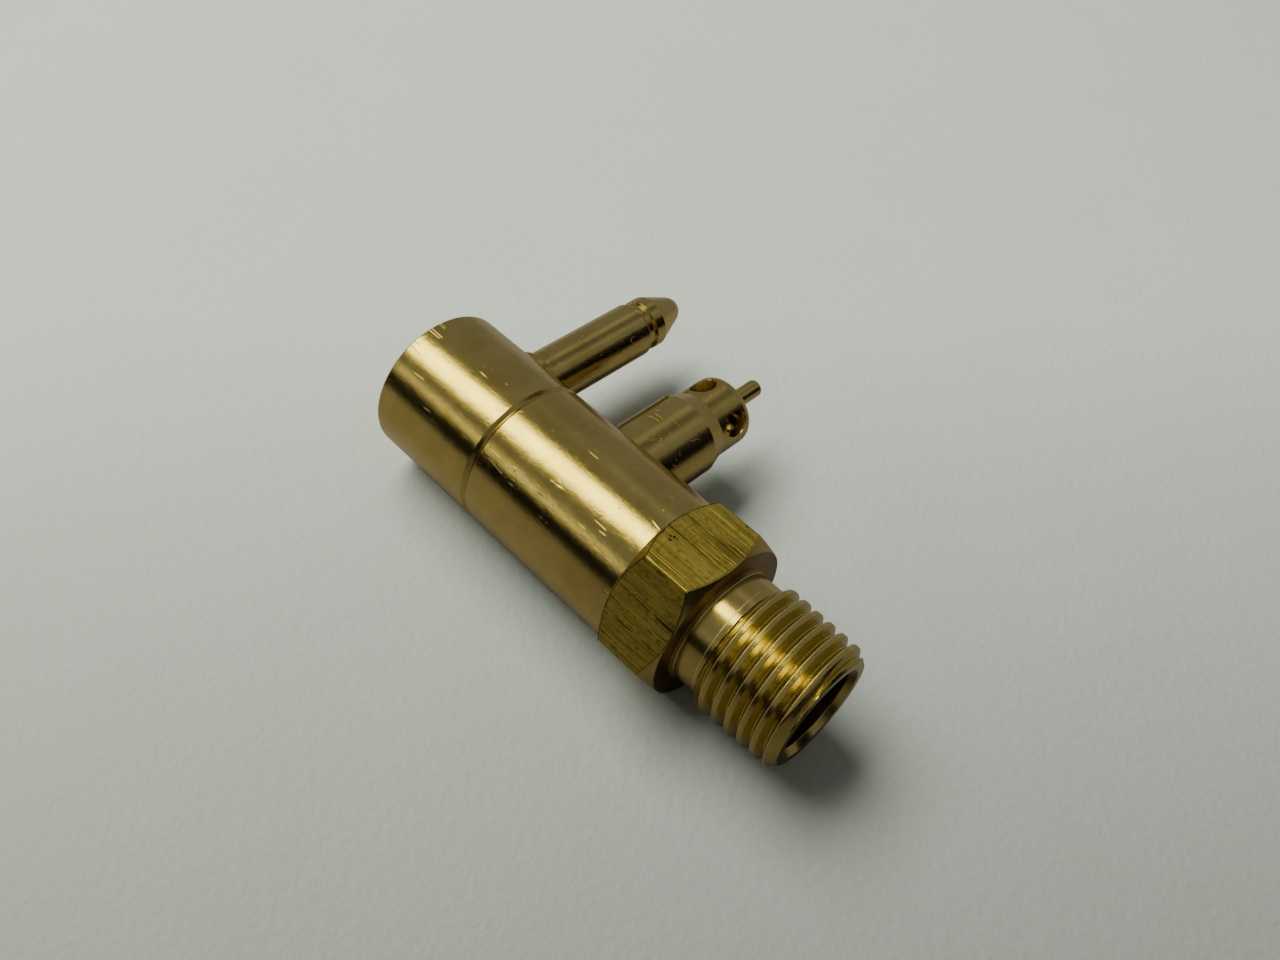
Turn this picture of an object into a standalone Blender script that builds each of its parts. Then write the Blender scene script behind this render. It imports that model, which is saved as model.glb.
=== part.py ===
"""Two-prong fuel tank connector with a tapered male pipe thread.

A turned brass body carries a plain locating pin and a hollow valve stem, both
square to its axis.  Inside the stem a sprung poppet closes the fuel way; its
pin stands out of the stem's tip and opens the valve when it is pushed in.

Frame: +X runs along the body axis from the closed end towards the thread, +Y
along the two prongs, +Z up.  The origin is the centre of the closed end face.
Units are metres.
"""
import math

import bmesh
import bpy
from mathutils import Matrix, Vector

MM = 0.001

# ---------------------------------------------------------------- dimensions
# body, along its axis from the closed end (millimetres)
BARREL_R = 7.85            # turned barrel radius
END_CHAMFER = 0.25         # edge break at the closed end
MARK_X = 13.06             # start of the turned identification groove
MARK_W = 0.82              # groove width
MARK_D = 0.36              # groove depth
HEX_AF = 15.875            # 5/8 in hexagon bar, across flats
HEX_X0 = 32.21             # barrel meets the hexagon
HEX_CORNER_X0 = 33.40      # corners reach full size here
HEX_CORNER_X1 = 38.16      # corners begin to fall away here
SHOULDER_X = 39.15         # flat shoulder behind the thread
SHOULDER_R = 7.90
NECK_FILLET_R = 6.15       # small raised ring where the neck meets the shoulder
NECK_FILLET_L = 0.40
NECK_R = 5.88
THREAD_X0 = 42.00          # first cut of the thread
CREST_R = 6.62             # crest radius at THREAD_REF_X
THREAD_REF_X = 42.40
THREAD_PITCH = 1.411       # 18 threads to the inch
THREAD_DEPTH = 0.74
THREAD_TAPER = 1.0 / 32.0  # radius lost per length: 1 in 16 on the diameter
CREST_FLAT = 0.46
CREST_PHASE_X = 45.92      # middle of a crest at CREST_PHASE_DEG about the axis
CREST_PHASE_DEG = 120.0    # measured from +Y towards +Z
THREAD_X1 = 50.15          # start of the end chamfer
END_X = 51.05              # thread end face
END_R = 5.57
# fuel way
MOUTH_R = 4.78
BORE_R = 4.30
BORE_MOUTH_X = 50.45
BORE_X0 = 38.00
WAY_R = 2.60
WAY_X1 = 37.00
WAY_X0 = 22.60
WAY_TIP_X = 21.60

# locating pin, along +Y from the body axis
PIN_X = 6.415
PIN_R = 3.03
PIN_SPIGOT_R = 2.40
PIN_SPIGOT_Y0 = 1.30
PIN_SEAT_Y = 6.90
PIN_COLLAR_R = 3.55
PIN_COLLAR_Y = 8.05
PIN_GROOVE_Y0 = 21.55
PIN_GROOVE_Y1 = 22.85
PIN_GROOVE_R = 2.56
PIN_HEAD_R = 2.87
PIN_CONE_Y = 24.05
PIN_TIP_Y = 28.10
PIN_NOSE_R = 1.40          # radius where the nose rounding would end on the cone
PIN_NOSE_FILLET = 0.88

# valve stem, along +Y
STEM_X = 21.244
STEM_R = 4.40
STEM_SEAT_Y = 6.20         # shoulder that seats in the body
STEM_SPIGOT_R = 3.60
STEM_Y0 = 2.75             # lower end
STEM_TAPER_Y0 = 14.40
STEM_TAPER_Y1 = 16.25
STEM_TIP_R = 3.80
STEM_TIP_Y = 20.97
STEM_FILLET = 1.32
STEM_BORE_R = 2.75         # spring chamber
SEAT_Y = 15.00             # valve seat
CHAMBER_R = 1.75           # fuel chamber round the pin
CHAMBER_Y1 = 19.75
GUIDE_R = 1.02             # guide hole in the tip
PORT_Y = 18.40             # four cross ports
PORT_R = 1.22
PORT_RIM_R = 1.45
PORT_ANGLES = (27.0, 117.0, 207.0, 297.0)   # from +X towards +Z

# poppet
POPPET_PIN_R = 0.95
POPPET_TIP_Y = 25.80
POPPET_DOME = 0.45
POPPET_NECK_R = 1.35
POPPET_SEAL_Y = 14.05      # top of the flange, under the seal
POPPET_FLANGE_R = 2.30
POPPET_FLANGE_Y0 = 12.60
POPPET_TAIL_R = 1.45
POPPET_TAIL_Y0 = 11.30

# seal, spring and retainer
SEAL_MINOR_R = 0.42
SEAL_MAJOR_R = 1.84
SPRING_WIRE_R = 0.25
SPRING_MEAN_R = 2.15
SPRING_TURNS = 8.0
RETAINER_Y0 = 2.85
RETAINER_Y1 = 4.35
RETAINER_R = 2.68
RETAINER_HOLE_R = 1.50

GAP = 0.05                 # clearance between fitted pieces
SEG_BODY = 60              # facets round the body
SEG_PRONG = 40             # facets round the prongs
SEG_SMALL = 24             # facets round the small inner pieces

# ------------------------------------------------------------- clean the file
for old in list(bpy.data.objects):
    bpy.data.objects.remove(old, do_unlink=True)
for old in list(bpy.data.collections):
    bpy.data.collections.remove(old)

parts = bpy.data.collections.new("fuel_tank_connector")
cutters = bpy.data.collections.new("cutters")
bpy.context.scene.collection.children.link(parts)
bpy.context.scene.collection.children.link(cutters)


def material(name, colour, roughness, metallic):
    mat = bpy.data.materials.new(name)
    mat.use_nodes = True
    shader = mat.node_tree.nodes["Principled BSDF"]
    shader.inputs["Base Color"].default_value = (*colour, 1.0)
    shader.inputs["Roughness"].default_value = roughness
    shader.inputs["Metallic"].default_value = metallic
    mat.diffuse_color = (*colour, 1.0)
    return mat


BRASS_BODY = material("brass_body", (0.72, 0.53, 0.22), 0.30, 1.0)
BRASS_PIN = material("brass_pin", (0.74, 0.56, 0.26), 0.28, 1.0)
BRASS_STEM = material("brass_stem", (0.74, 0.56, 0.26), 0.28, 1.0)
BRASS_POPPET = material("brass_poppet", (0.72, 0.52, 0.24), 0.32, 1.0)
BRASS_BUSH = material("brass_bush", (0.70, 0.52, 0.24), 0.35, 1.0)
STEEL_SPRING = material("steel_spring", (0.62, 0.62, 0.63), 0.30, 1.0)
RUBBER_SEAL = material("rubber_seal", (0.02, 0.02, 0.02), 0.60, 0.0)

# a turned shape is drawn standing on +Z, then laid along +X or +Y
ALONG_X = (0.0, math.radians(90.0), 0.0)
ALONG_Y = (math.radians(-90.0), 0.0, 0.0)


def smooth(obj, angle=35.0):
    obj.data.shade_smooth()
    if hasattr(obj.data, "set_sharp_from_angle"):
        obj.data.set_sharp_from_angle(angle=math.radians(angle))


def turned(name, profile, segments, location, rotation, mat=None, coll=None):
    """Solid of revolution: profile is (radius, height) in mm, and runs from the
    axis at the top, down the outer side, to the axis at the bottom."""
    mesh = bpy.data.meshes.new(name)
    verts = [(r * MM, 0.0, h * MM) for r, h in profile]
    edges = [(i, i + 1) for i in range(len(verts) - 1)]
    mesh.from_pydata(verts, edges, [])
    obj = bpy.data.objects.new(name, mesh)
    (coll or parts).objects.link(obj)
    obj.location = [v * MM for v in location]
    obj.rotation_euler = rotation
    screw = obj.modifiers.new("turn", "SCREW")
    screw.axis = "Z"
    screw.angle = math.tau
    screw.steps = segments
    screw.render_steps = segments
    screw.use_merge_vertices = True
    screw.merge_threshold = 0.000002
    screw.use_smooth_shade = True
    if mat:
        mesh.materials.append(mat)
    return obj


def as_cutter(obj):
    obj.hide_render = True
    obj.display_type = "WIRE"
    for coll in list(obj.users_collection):
        coll.objects.unlink(obj)
    cutters.objects.link(obj)
    return obj


def boolean(obj, other, operation, name):
    mod = obj.modifiers.new(name, "BOOLEAN")
    mod.operation = operation
    mod.solver = "EXACT"
    mod.object = other
    return mod


def arc(cr, ch, radius, a0, a1, n):
    """Points of an arc in (radius, height), angles in degrees from +radius."""
    pts = []
    for i in range(n + 1):
        a = math.radians(a0 + (a1 - a0) * i / n)
        pts.append((cr + radius * math.cos(a), ch + radius * math.sin(a)))
    return pts


# ------------------------------------------------------------------ the body
def crest(x):
    return CREST_R - (x - THREAD_REF_X) * THREAD_TAPER


HEX_R = HEX_AF / math.sqrt(3.0)          # corner radius of the bar
# the blank is a little smaller than the bar's corners, which leaves them full
blank_hex_r = HEX_R + 0.02
profile = [
    (0.0, WAY_TIP_X), (WAY_R, WAY_X0), (WAY_R, WAY_X1), (BORE_R, BORE_X0),
    (BORE_R, BORE_MOUTH_X), (MOUTH_R, END_X), (END_R, END_X),
    (crest(THREAD_X1), THREAD_X1),
    (crest(THREAD_X0 + 0.72), THREAD_X0 + 0.72), (NECK_R, THREAD_X0),
    (NECK_R, SHOULDER_X + NECK_FILLET_L),
    (NECK_R + 0.08, SHOULDER_X + 0.16), (NECK_FILLET_R, SHOULDER_X),
    (SHOULDER_R, SHOULDER_X),
    (blank_hex_r, HEX_CORNER_X1), (blank_hex_r, HEX_CORNER_X0),
    (BARREL_R, HEX_X0),
    (BARREL_R, MARK_X + MARK_W), (BARREL_R - MARK_D, MARK_X + MARK_W * 0.45),
    (BARREL_R, MARK_X),
    (BARREL_R, END_CHAMFER), (BARREL_R - END_CHAMFER, 0.0), (0.0, 0.0),
]
body = turned("body", profile, SEG_BODY, (0, 0, 0), ALONG_X, BRASS_BODY)

# hexagon bar: corners point along +Y and -Y, flats face +Z and -Z
bar_mesh = bpy.data.meshes.new("hex_bar")
bm = bmesh.new()
bmesh.ops.create_cone(bm, cap_ends=True, cap_tris=False, segments=6,
                      radius1=HEX_R * MM, radius2=HEX_R * MM, depth=60 * MM)
bm.to_mesh(bar_mesh)
bm.free()
bar = bpy.data.objects.new("hex_bar", bar_mesh)
cutters.objects.link(bar)
bar.location = (27 * MM, 0, 0)
bar.rotation_euler = ALONG_X
as_cutter(bar)
# create_cone puts its first corner on local +Y, which stays +Y along X
boolean(body, bar, "INTERSECT", "bar_stock")

# the helical V groove of the thread, swept with a Screw and then tapered
turns = 8
lead_in = 1.0
half_open = (THREAD_PITCH - CREST_FLAT) / 2.0
proud = 0.35
# widen the V above the crest at its own slope
slope = half_open / THREAD_DEPTH
groove_profile = [
    (CREST_R - THREAD_DEPTH, 0.0),
    (CREST_R + proud, -(half_open + proud * slope) * 0.985),
    (CREST_R + proud, (half_open + proud * slope) * 0.985),
]
mesh = bpy.data.meshes.new("thread_path")
mesh.from_pydata([(r * MM, 0.0, h * MM) for r, h in groove_profile],
                 [(0, 1), (1, 2), (2, 0)], [])
path = bpy.data.objects.new("thread_path", mesh)
cutters.objects.link(path)
screw = path.modifiers.new("sweep", "SCREW")
screw.axis = "Z"
screw.angle = math.tau
screw.screw_offset = THREAD_PITCH * MM
screw.iterations = turns
screw.steps = 28
screw.render_steps = 28
bpy.context.view_layer.update()
graph = bpy.context.evaluated_depsgraph_get()
swept = bpy.data.meshes.new_from_object(path.evaluated_get(graph))
bpy.data.objects.remove(path, do_unlink=True)
bm = bmesh.new()
bm.from_mesh(swept)
bmesh.ops.remove_doubles(bm, verts=bm.verts, dist=0.000002)
open_edges = [e for e in bm.edges if e.is_boundary]
bmesh.ops.holes_fill(bm, edges=open_edges, sides=8)
bmesh.ops.recalc_face_normals(bm, faces=bm.faces)
# where the sweep starts: local angle 0 is world angle -90 degrees, so the
# groove middle (half a pitch from a crest) is carried back to that angle
crest_at_start = CREST_PHASE_X + THREAD_PITCH * (-90.0 - CREST_PHASE_DEG) / 360.0
groove0 = crest_at_start + THREAD_PITCH / 2.0
first = THREAD_X0 - lead_in
while groove0 > first:
    groove0 -= THREAD_PITCH
while groove0 < first - THREAD_PITCH:
    groove0 += THREAD_PITCH
for v in bm.verts:
    v.co.z += groove0 * MM
    r = math.hypot(v.co.x, v.co.y)
    k = (r - (v.co.z - THREAD_REF_X * MM) * THREAD_TAPER) / r
    v.co.x *= k
    v.co.y *= k
bm.to_mesh(swept)
bm.free()
thread_cut = bpy.data.objects.new("thread_groove", swept)
cutters.objects.link(thread_cut)
thread_cut.rotation_euler = ALONG_X
as_cutter(thread_cut)
boolean(body, thread_cut, "DIFFERENCE", "thread")

# seats for the two prongs
pin_seat = turned("pin_seat", [
    (0.0, 16.0), (PIN_COLLAR_R + GAP, 16.0), (PIN_COLLAR_R + GAP, PIN_SEAT_Y - GAP),
    (PIN_SPIGOT_R + GAP, PIN_SEAT_Y - GAP), (PIN_SPIGOT_R + GAP, PIN_SPIGOT_Y0 - GAP),
    (0.0, PIN_SPIGOT_Y0 - 1.2)], SEG_PRONG, (PIN_X, 0, 0), ALONG_Y, coll=cutters)
as_cutter(pin_seat)
boolean(body, pin_seat, "DIFFERENCE", "pin_seat")
stem_seat = turned("stem_seat", [
    (0.0, 16.0), (STEM_R + GAP, 16.0), (STEM_R + GAP, STEM_SEAT_Y - GAP),
    (STEM_SPIGOT_R + GAP, STEM_SEAT_Y - GAP), (STEM_SPIGOT_R + GAP, -2.4),
    (0.0, -3.8)], SEG_PRONG, (STEM_X, 0, 0), ALONG_Y, coll=cutters)
as_cutter(stem_seat)
boolean(body, stem_seat, "DIFFERENCE", "stem_seat")

# ---------------------------------------------------------- the locating pin
nose_c = (PIN_NOSE_R - PIN_NOSE_FILLET, PIN_TIP_Y - PIN_NOSE_FILLET)
# the cone is the tangent from the head's rim to the nose rounding
dx, dy = nose_c[0] - PIN_HEAD_R, nose_c[1] - PIN_CONE_Y
dist = math.hypot(dx, dy)
tangent = math.degrees(math.atan2(dy, dx) - math.acos(PIN_NOSE_FILLET / dist)
                       - math.pi) % 360.0
if tangent > 90.0:
    tangent = math.degrees(math.atan2(-dy, -dx) + math.acos(PIN_NOSE_FILLET / dist)) % 360.0
profile = [(0.0, PIN_TIP_Y)]
profile += arc(nose_c[0], nose_c[1], PIN_NOSE_FILLET, 90.0, tangent, 5)
profile += [
    (PIN_HEAD_R, PIN_CONE_Y), (PIN_HEAD_R, PIN_GROOVE_Y1),
    (PIN_GROOVE_R, PIN_GROOVE_Y1 - 0.28), (PIN_GROOVE_R, PIN_GROOVE_Y0 + 0.42),
    (PIN_R - 0.06, PIN_GROOVE_Y0), (PIN_R, PIN_GROOVE_Y0 - 0.12),
    (PIN_R, PIN_COLLAR_Y),
    (PIN_COLLAR_R - 0.25, PIN_COLLAR_Y), (PIN_COLLAR_R, PIN_COLLAR_Y - 0.25),
    (PIN_COLLAR_R, PIN_SEAT_Y), (PIN_SPIGOT_R, PIN_SEAT_Y),
    (PIN_SPIGOT_R, PIN_SPIGOT_Y0 + 0.3), (PIN_SPIGOT_R - 0.3, PIN_SPIGOT_Y0),
    (0.0, PIN_SPIGOT_Y0)]
locating_pin = turned("locating_pin", profile, SEG_PRONG, (PIN_X, 0, 0), ALONG_Y, BRASS_PIN)

# ------------------------------------------------------------ the valve stem
profile = [(GUIDE_R, STEM_TIP_Y)]
profile += arc(STEM_TIP_R - STEM_FILLET, STEM_TIP_Y - STEM_FILLET, STEM_FILLET, 90.0, 0.0, 6)
profile += [
    (STEM_TIP_R, STEM_TAPER_Y1), (STEM_R, STEM_TAPER_Y0),
    (STEM_R, STEM_SEAT_Y), (STEM_SPIGOT_R, STEM_SEAT_Y),
    (STEM_SPIGOT_R, STEM_Y0 + 0.25), (STEM_SPIGOT_R - 0.25, STEM_Y0),
    (STEM_BORE_R, STEM_Y0), (STEM_BORE_R, SEAT_Y), (CHAMBER_R, SEAT_Y),
    (CHAMBER_R, CHAMBER_Y1 - 0.5), (GUIDE_R, CHAMBER_Y1)]
profile.append(profile[0])
valve_stem = turned("valve_stem", profile, SEG_PRONG, (STEM_X, 0, 0), ALONG_Y, BRASS_STEM)
for i, angle in enumerate(PORT_ANGLES):
    # each port starts clear of the poppet pin and is countersunk outside
    port = turned("port_%d" % (i + 1), [
        (0.0, 6.0), (PORT_RIM_R + (6.0 - 3.75), 6.0), (PORT_RIM_R, 3.75),
        (PORT_R, 3.42), (PORT_R, 1.2), (0.0, 1.2)], SEG_SMALL,
        (STEM_X, PORT_Y, 0), (0.0, math.radians(90.0 - angle), 0.0), coll=cutters)
    as_cutter(port)
    boolean(valve_stem, port, "DIFFERENCE", "port_%d" % (i + 1))

# ---------------------------------------------------- the poppet and its seal
travel = bpy.data.objects.new("poppet_axis", None)
parts.objects.link(travel)
travel.location = (STEM_X * MM, 0, 0)
travel.empty_display_size = 0.005

profile = [(0.0, POPPET_TIP_Y)]
profile += arc(POPPET_PIN_R - POPPET_DOME, POPPET_TIP_Y - POPPET_DOME, POPPET_DOME, 90.0, 0.0, 4)
profile += [
    (POPPET_PIN_R, SEAT_Y + 0.75), (POPPET_NECK_R, SEAT_Y + 0.25),
    (POPPET_NECK_R, POPPET_SEAL_Y), (POPPET_FLANGE_R, POPPET_SEAL_Y),
    (POPPET_FLANGE_R, POPPET_FLANGE_Y0), (POPPET_TAIL_R, POPPET_FLANGE_Y0),
    (POPPET_TAIL_R, POPPET_TAIL_Y0 + 0.3), (POPPET_TAIL_R - 0.3, POPPET_TAIL_Y0),
    (0.0, POPPET_TAIL_Y0)]
poppet = turned("poppet", profile, SEG_SMALL, (0, 0, 0), ALONG_Y, BRASS_POPPET)
poppet.parent = travel

bpy.ops.mesh.primitive_torus_add(
    major_segments=28, minor_segments=10, major_radius=SEAL_MAJOR_R * MM,
    minor_radius=SEAL_MINOR_R * MM, location=(0, 0, 0))
seal = bpy.context.object
seal.name = "poppet_seal"
seal.data.name = "poppet_seal"
for coll in list(seal.users_collection):
    coll.objects.unlink(seal)
parts.objects.link(seal)
seal.rotation_euler = ALONG_Y
seal.location = (0, (POPPET_SEAL_Y + SEAL_MINOR_R + GAP) * MM, 0)
seal.parent = travel
seal.data.materials.append(RUBBER_SEAL)
smooth(seal)

# ------------------------------------------------------ spring and retainer
spring_y0 = RETAINER_Y1 + GAP + SPRING_WIRE_R
spring_y1 = POPPET_FLANGE_Y0 - GAP - SPRING_WIRE_R
curve = bpy.data.curves.new("valve_spring", "CURVE")
curve.dimensions = "3D"
curve.bevel_depth = SPRING_WIRE_R * MM
curve.bevel_resolution = 2
curve.use_fill_caps = True
count = int(SPRING_TURNS * 12) + 1
line = curve.splines.new("POLY")
line.points.add(count - 1)
wire = 2.0 * SPRING_WIRE_R * 1.06
for i in range(count):
    t = i / (count - 1) * SPRING_TURNS
    # one close-wound turn at each end, open coils between
    if t < 1.0:
        y = spring_y0 + wire * t
    elif t > SPRING_TURNS - 1.0:
        y = spring_y1 - wire * (SPRING_TURNS - t)
    else:
        y = (spring_y0 + wire) + (spring_y1 - spring_y0 - 2 * wire) * (t - 1.0) / (SPRING_TURNS - 2.0)
    a = math.tau * t
    line.points[i].co = (SPRING_MEAN_R * math.cos(a) * MM, y * MM,
                         -SPRING_MEAN_R * math.sin(a) * MM, 1.0)
spring = bpy.data.objects.new("valve_spring", curve)
parts.objects.link(spring)
spring.location = (STEM_X * MM, 0, 0)
curve.materials.append(STEEL_SPRING)

profile = [
    (RETAINER_HOLE_R, RETAINER_Y1), (RETAINER_R - 0.15, RETAINER_Y1),
    (RETAINER_R, RETAINER_Y1 - 0.15), (RETAINER_R, RETAINER_Y0),
    (RETAINER_HOLE_R, RETAINER_Y0), (RETAINER_HOLE_R, RETAINER_Y1)]
retainer = turned("spring_retainer", profile, SEG_SMALL, (STEM_X, 0, 0), ALONG_Y, BRASS_BUSH)

bpy.context.view_layer.update()
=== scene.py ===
import math

import bmesh
import bpy
from mathutils import Matrix, Vector, noise


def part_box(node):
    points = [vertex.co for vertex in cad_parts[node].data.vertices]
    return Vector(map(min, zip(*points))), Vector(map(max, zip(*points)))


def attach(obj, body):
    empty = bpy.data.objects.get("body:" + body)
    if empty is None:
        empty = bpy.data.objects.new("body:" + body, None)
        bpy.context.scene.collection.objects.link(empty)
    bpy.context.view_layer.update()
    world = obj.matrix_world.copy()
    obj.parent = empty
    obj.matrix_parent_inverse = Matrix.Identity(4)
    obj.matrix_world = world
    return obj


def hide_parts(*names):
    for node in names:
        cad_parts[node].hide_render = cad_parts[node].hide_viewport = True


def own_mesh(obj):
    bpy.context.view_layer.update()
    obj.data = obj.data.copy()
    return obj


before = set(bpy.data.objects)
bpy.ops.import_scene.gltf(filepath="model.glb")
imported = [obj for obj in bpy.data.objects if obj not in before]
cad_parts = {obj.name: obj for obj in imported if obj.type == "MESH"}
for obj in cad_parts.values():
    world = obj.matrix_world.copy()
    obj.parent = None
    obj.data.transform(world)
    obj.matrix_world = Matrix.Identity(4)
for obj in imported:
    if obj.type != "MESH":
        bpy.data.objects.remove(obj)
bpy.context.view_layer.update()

MM = 0.001

# ------------------------------------------------------------------- camera
cam_data = bpy.data.cameras.new("camera")
cam = bpy.data.objects.new("camera", cam_data)
bpy.context.scene.collection.objects.link(cam)
cam_data.sensor_fit = "HORIZONTAL"
cam_data.sensor_width = 36.0
cam_data.lens = 30.48
cam_data.clip_start = 0.005
cam_data.clip_end = 50.0
right = Vector((0.70013828, 0.70506278, 0.11266263))
down = Vector((0.58417691, -0.474928, -0.65816467))
look = Vector((-0.41054077, 0.52662119, -0.74439667))
rot = Matrix((right, -down, -look)).transposed()
cam.matrix_world = Matrix.Translation(Vector((66.231, -49.161, 78.788)) * MM) @ rot.to_4x4()
bpy.context.scene.camera = cam

# ------------------------------------------------------------ mesh builders


def arc_points(p0, p1, p2, radius, n, guard):
    """Rounds the corner p1 between p0 and p2.  Always gives n + 3 points: a
    guard point, n + 1 points along the arc and another guard point."""
    a = Vector(p0) - Vector(p1)
    b = Vector(p2) - Vector(p1)
    la, lb = a.length, b.length
    a, b = a / la, b / lb
    cosang = max(-1.0, min(1.0, a.dot(b)))
    half = math.acos(cosang) / 2.0
    if abs(math.pi / 2 - half) < 1e-4:
        t = 0.1 * min(la, lb)
        pts = [Vector(p1) + a * t * (1 - i / (n / 2)) if i <= n / 2 else
               Vector(p1) + b * t * (i / (n / 2) - 1) for i in range(n + 1)]
        return [tuple(Vector(p1) + a * (t + min(guard, 0.1 * la)))] + [tuple(p) for p in pts] + \
            [tuple(Vector(p1) + b * (t + min(guard, 0.1 * lb)))]
    t = min(radius / math.tan(half), 0.42 * la, 0.42 * lb)
    rho = t * math.tan(half)
    bis = (a + b).normalized()
    c = Vector(p1) + bis * (rho / math.sin(half))
    s = Vector(p1) + a * t - c
    e = Vector(p1) + b * t - c
    total = s.angle(e) if rho > 1e-9 else 0.0
    pts = []
    for i in range(n + 1):
        k = i / n
        if total < 1e-6:
            pts.append(Vector(p1))
            continue
        w0 = math.sin((1 - k) * total) / math.sin(total)
        w1 = math.sin(k * total) / math.sin(total)
        pts.append(c + s * w0 + e * w1)
    g0 = min(guard, 0.3 * (la - t))
    g1 = min(guard, 0.3 * (lb - t))
    return [tuple(Vector(p1) + a * (t + g0))] + [tuple(p) for p in pts] + \
        [tuple(Vector(p1) + b * (t + g1))]


def rounded(poly, guard=0.05, seg=3):
    """poly: (h, r, fillet radius, subdivisions of the run after it).  Returns
    points and, for each, the number of the run it belongs to."""
    out, run = [], []
    last = len(poly) - 1
    for i, (h, r, rad, sub) in enumerate(poly):
        if i == 0 or i == last or rad <= 0.0:
            pts = [(h, r)]
        else:
            pts = arc_points(poly[i - 1][:2], (h, r), poly[i + 1][:2], rad, seg, guard)
        out += pts
        run += [i] * len(pts)
        if i < last and sub > 0:
            # plain points between this corner's last point and the next one's first
            nxt = poly[i + 1]
            if i + 1 == last or nxt[2] <= 0.0:
                end = nxt[:2]
            else:
                end = arc_points((h, r), nxt[:2], poly[i + 2][:2], nxt[2], seg, guard)[0]
            start = pts[-1]
            for k in range(1, sub + 1):
                w = k / (sub + 1)
                out.append((start[0] + (end[0] - start[0]) * w, start[1] + (end[1] - start[1]) * w))
                run.append(i)
    return out, run


def put(name, mesh, body, mats):
    obj = bpy.data.objects.new(name, mesh)
    bpy.context.scene.collection.objects.link(obj)
    for m in mats:
        mesh.materials.append(m)
    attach(obj, body)
    return obj


def finish_mesh(name, verts, faces, mat_index=None, angle=38.0, merge=2e-8):
    mesh = bpy.data.meshes.new(name)
    bm = bmesh.new()
    vs = [bm.verts.new(v) for v in verts]
    for k, f in enumerate(faces):
        idx = []
        for i in f:
            if not idx or i != idx[-1]:
                idx.append(i)
        if idx[0] == idx[-1]:
            idx.pop()
        if len(set(idx)) < 3 or len(set(idx)) != len(idx):
            continue
        try:
            face = bm.faces.new([vs[i] for i in idx])
        except ValueError:
            continue
        if mat_index:
            face.material_index = mat_index[k]
    bmesh.ops.remove_doubles(bm, verts=bm.verts, dist=merge)
    bmesh.ops.dissolve_degenerate(bm, edges=bm.edges, dist=merge)
    loose = [v for v in bm.verts if not v.link_faces]
    bmesh.ops.delete(bm, geom=loose, context="VERTS")
    bmesh.ops.recalc_face_normals(bm, faces=bm.faces)
    bm.to_mesh(mesh)
    bm.free()
    mesh.shade_smooth()
    mesh.set_sharp_from_angle(angle=math.radians(angle))
    return mesh


def lathe(name, poly, axis, origin, seg, guard=0.05, fillet_seg=3, angle=38.0):
    """Solid of revolution about axis ('X' or 'Y') through origin (mm); poly
    runs from pole to pole as (h, r, fillet, subdivisions)."""
    pts, _ = rounded(poly, guard, fillet_seg)
    verts, faces = [], []
    ring = []
    for h, r in pts:
        if r < 1e-6:
            ring.append([len(verts)] * seg)
            verts.append(place(axis, origin, h, 0.0, 0.0))
        else:
            ids = []
            for j in range(seg):
                a = math.tau * j / seg
                ids.append(len(verts))
                verts.append(place(axis, origin, h, r, a))
            ring.append(ids)
    for i in range(len(ring) - 1):
        for j in range(seg):
            k = (j + 1) % seg
            faces.append((ring[i][j], ring[i][k], ring[i + 1][k], ring[i + 1][j]))
    return finish_mesh(name, verts, faces, angle=angle)


def place(axis, origin, h, r, a):
    if axis == "X":      # angle from +Y towards +Z
        return ((origin[0] + h) * MM, (origin[1] + r * math.cos(a)) * MM,
                (origin[2] + r * math.sin(a)) * MM)
    return ((origin[0] + r * math.cos(a)) * MM, (origin[1] + h) * MM,
            (origin[2] + r * math.sin(a)) * MM)


# ---------------------------------------------------------------- materials


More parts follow.
